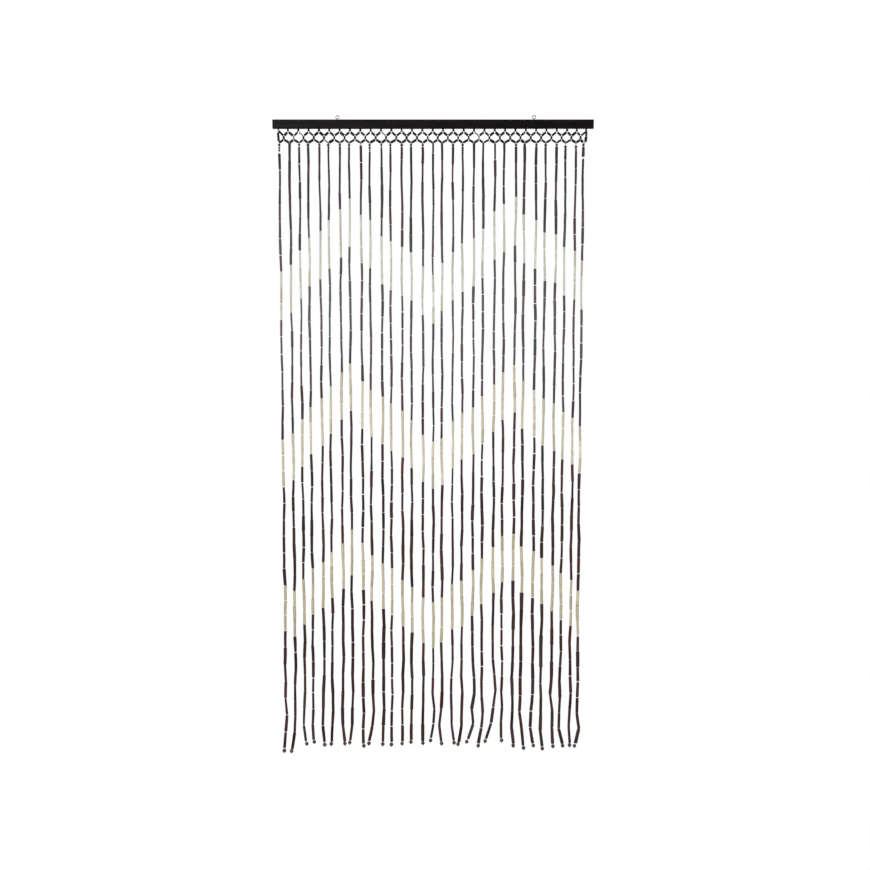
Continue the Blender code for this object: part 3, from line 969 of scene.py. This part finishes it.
tops, feet, thin = legs()
side, top_aside, top_drop, foot_aside, foot_drop = EDGE_TUBES.T
edge_x = np.where(side == 0, HOLES[0] - PAIR_HALF, HOLES[-1] + PAIR_HALF)
tops = np.concatenate([tops, corner(edge_x + top_aside * MM, UNDER - top_drop * MM)])
feet = np.concatenate([feet, corner(edge_x + foot_aside * MM, UNDER - foot_drop * MM)])
thin = np.pad(thin, (0, len(side)))
thickness = np.where(thin, THIN, NET_TUBE)[:, None]
shape = straight_tubes(tops, feet, thickness, unevenness=0.09)
tone = tones(len(thin), *NET_TONES, odd_share=0.04)
piece("net_tubes", shape, DARK_BAMBOO, "dark_bamboo", "bead_net", tone=greyed(tone, thin),
      sawn=cut_ends(shape))

thin = np.zeros(COUNT - 1, bool)
thin[list(THIN_CROSSINGS)] = True
middle = corner(CROSSINGS_X, (CROSSING_Z + PARTING_Z) / 2)
half_bit = corner(0 * CROSSINGS_X, chance.uniform(*CROSSING_BIT_HALF, len(thin)))
thickness = np.where(thin, THIN, CROSSING_BIT)[:, None]
shape = straight_tubes(middle + half_bit, middle - half_bit, thickness, unevenness=0.07,
                       chamfer=BIT_CHAMFER)
tone = tones(len(thin), *CROSSING_TONES, odd_share=0.06)
piece("crossing_bits", shape, DARK_BAMBOO, "dark_bamboo", "bead_net", tone=greyed(tone, thin),
      sawn=cut_ends(shape))

inner = HOLES[1:]
tops = corner(inner, UNDER - TOP_BIT_MARGINS[0])
feet = corner(inner, SPLIT_Z + TOP_BIT_MARGINS[1])
shape = straight_tubes(tops, feet, np.full((len(inner), 1), TOP_BIT), unevenness=0.06,
                       chamfer=BIT_CHAMFER)
tone = tones(len(inner), *TOP_TONES, odd_share=0.06)
piece("top_bits", shape, DARK_BAMBOO, "dark_bamboo", "bead_net", tone=tone,
      sawn=cut_ends(shape))

# The strings' threads and knots: one thin thread runs down each string through every bore and
# ends in a knot under the ball. It shows in the gaps between the tubes.
STRING_THREAD_RADIUS = 0.5 * MM
KNOT_RADIUS = 1.5 * MM
KNOT_OFFSET = 0.4 * MM
KNOT_RINGS = 7
KNOT_SIDES = 12

numbers, starts, _ = picked(RUNS, {run.kind for run in RUNS})
tops = joint(numbers, starts)
feet = np.roll(tops, -1, axis=0)
feet[np.flatnonzero(np.diff(numbers, append=COUNT))] = BALL_MIDDLES
heads = tops[np.flatnonzero(np.diff(numbers, prepend=-1))]
ties = np.stack([corner(PLUMBS, POINT_Z), heads], axis=1)
path = np.concatenate([np.stack([tops, feet], axis=1), ties])
threads("string_threads", path, STRING_THREAD_RADIUS)

t = np.linspace(-math.pi / 2, math.pi / 2, KNOT_RINGS + 2)[1:-1]
middles = BALL_MIDDLES + BALL_WAYS * (BALL_RADIUS + KNOT_OFFSET)
radii = KNOT_RADIUS * np.cos(t) * np.ones((COUNT, 1))
centres = middles[:, None] + (KNOT_RADIUS * np.sin(t))[:, None] * BALL_WAYS[:, None]
shape = turned(centres, np.broadcast_to(BALL_WAYS[:, None], centres.shape), radii,
               lengths_along(centres), KNOT_SIDES, hollow=False)
piece("knots", shape, TWINE, "thread", "bead_net", sharp=80)
